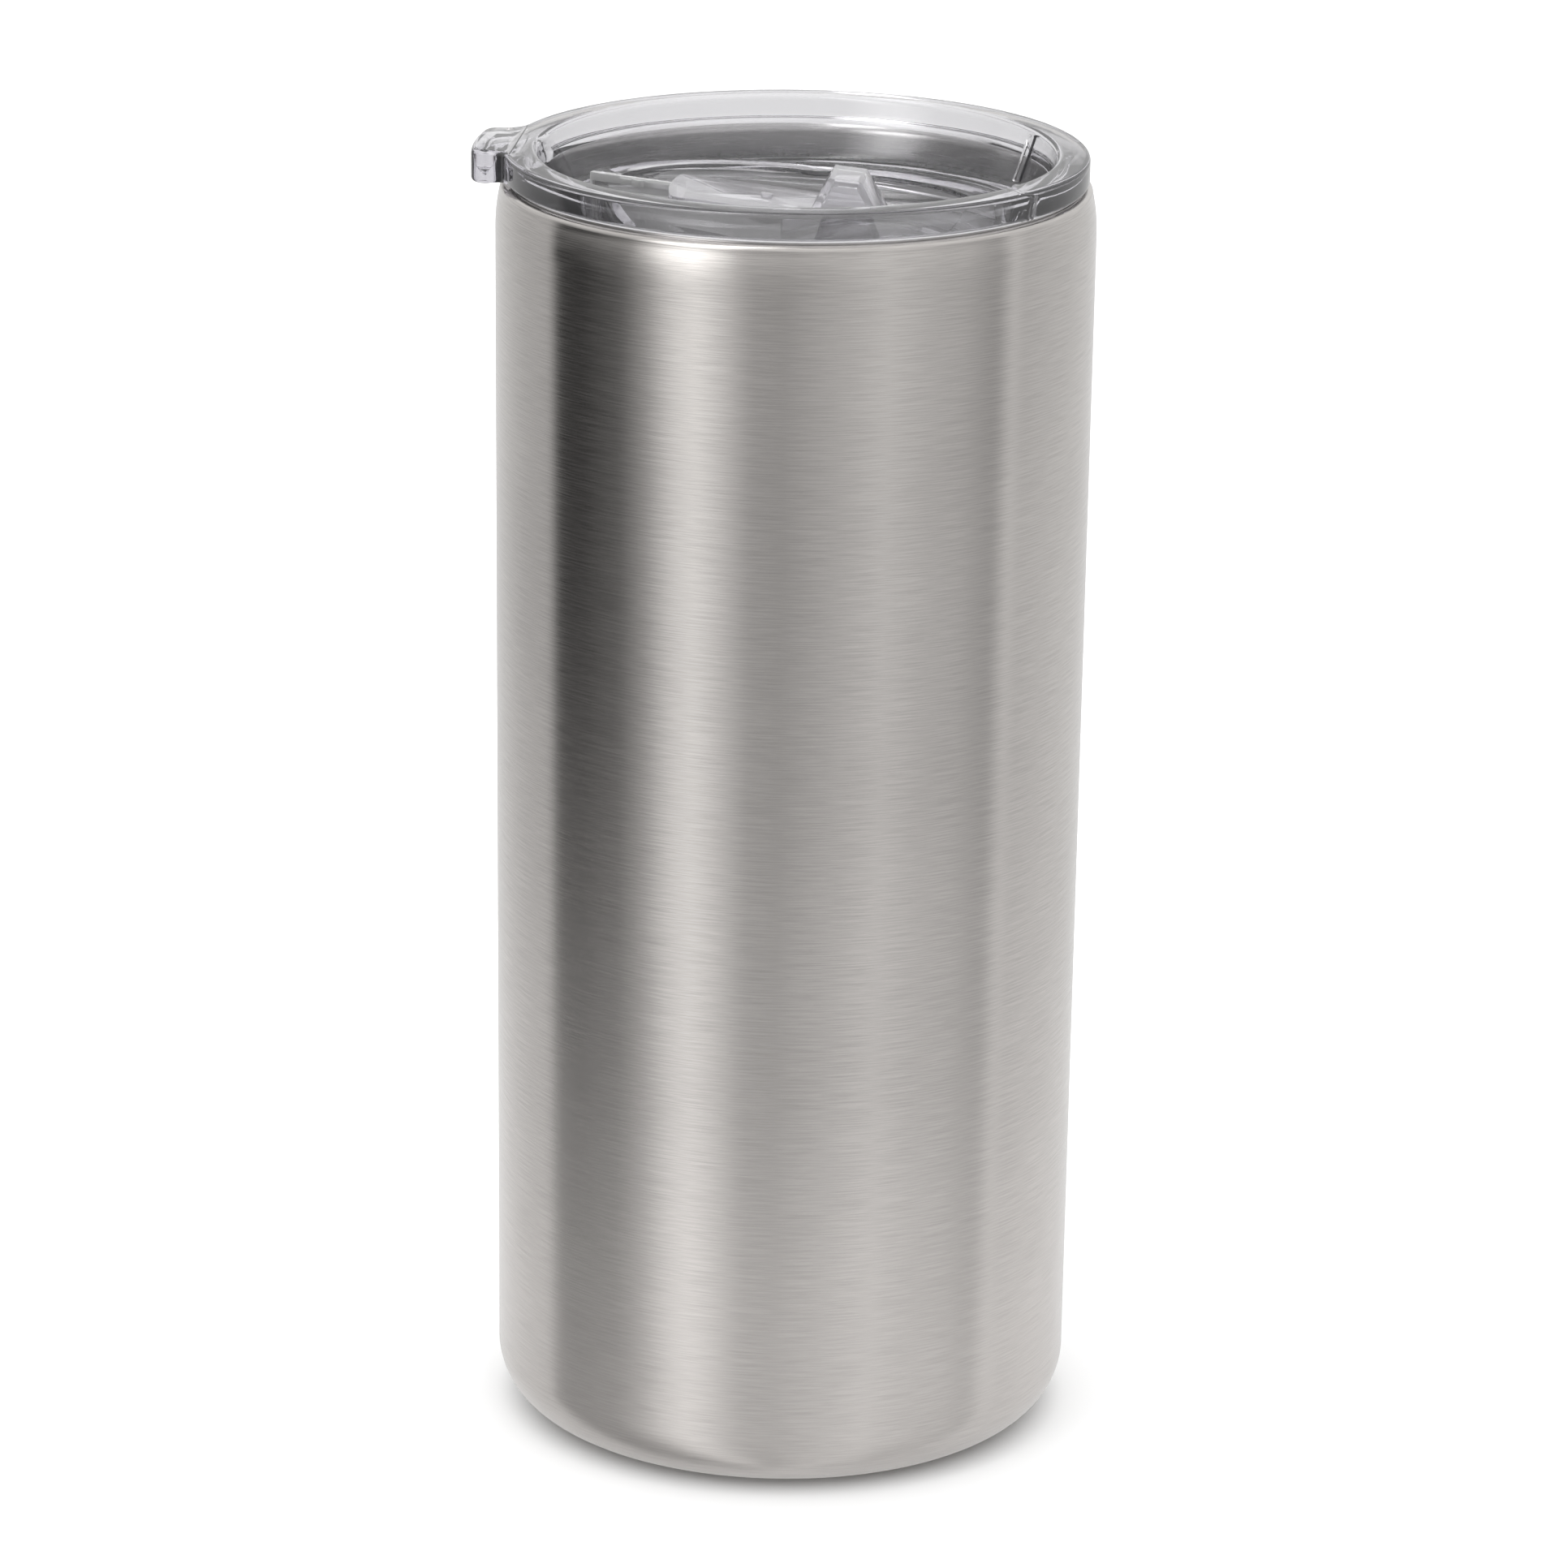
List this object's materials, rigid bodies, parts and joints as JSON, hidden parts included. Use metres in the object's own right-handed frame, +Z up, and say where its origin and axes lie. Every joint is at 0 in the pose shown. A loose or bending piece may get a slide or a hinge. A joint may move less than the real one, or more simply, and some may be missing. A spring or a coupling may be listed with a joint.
{
  "type": "insulated tumbler with lid",
  "caption": "Tall double-walled steel tumbler with a clear press-in lid, a thumb tab and a sliding sip closure.",
  "frame": {"origin": "on the tumbler's axis, in the plane that the base stands on", "axes": "+Z up along the axis, -X towards the lid's thumb tab, +X towards the side one drinks from"},
  "size_m": [0.0832, 0.08, 0.177],
  "materials": {
    "brushed_steel": "satin, fine brushing round the body",
    "plain_steel": "drawn and lightly polished",
    "copper_foil": "bright rolled foil",
    "sealing_glass": "fused glass frit",
    "getter_alloy": "sintered, matt",
    "clear_plastic": "clear moulded copolyester, gloss",
    "clear_silicone": "translucent silicone, satin"
  },
  "bodies": {
    "tumbler": {"outer_shell": "brushed_steel", "liner_tube": "plain_steel", "liner_bottom": "plain_steel", "vacuum_closure": "plain_steel", "vacuum_seal_bead": "sealing_glass", "base_cover": "brushed_steel", "radiation_foil": "copper_foil", "getter_cup": "plain_steel", "getter_pellet": "getter_alloy"},
    "lid": {"lid_body": "clear_plastic", "lid_gasket": "clear_silicone"},
    "slider": {"slider": "clear_plastic"}
  },
  "joints": [
    {"name": "lid_lift", "type": "slide", "parent": "tumbler", "child": "lid", "axis": [0, 0, 1], "range_m": [0, 0.04]},
    {"name": "slider_slide", "type": "slide", "parent": "lid", "child": "slider", "axis": [-0.9949, 0, 0.1011], "range_m": [0, 0.0105]}
  ]
}
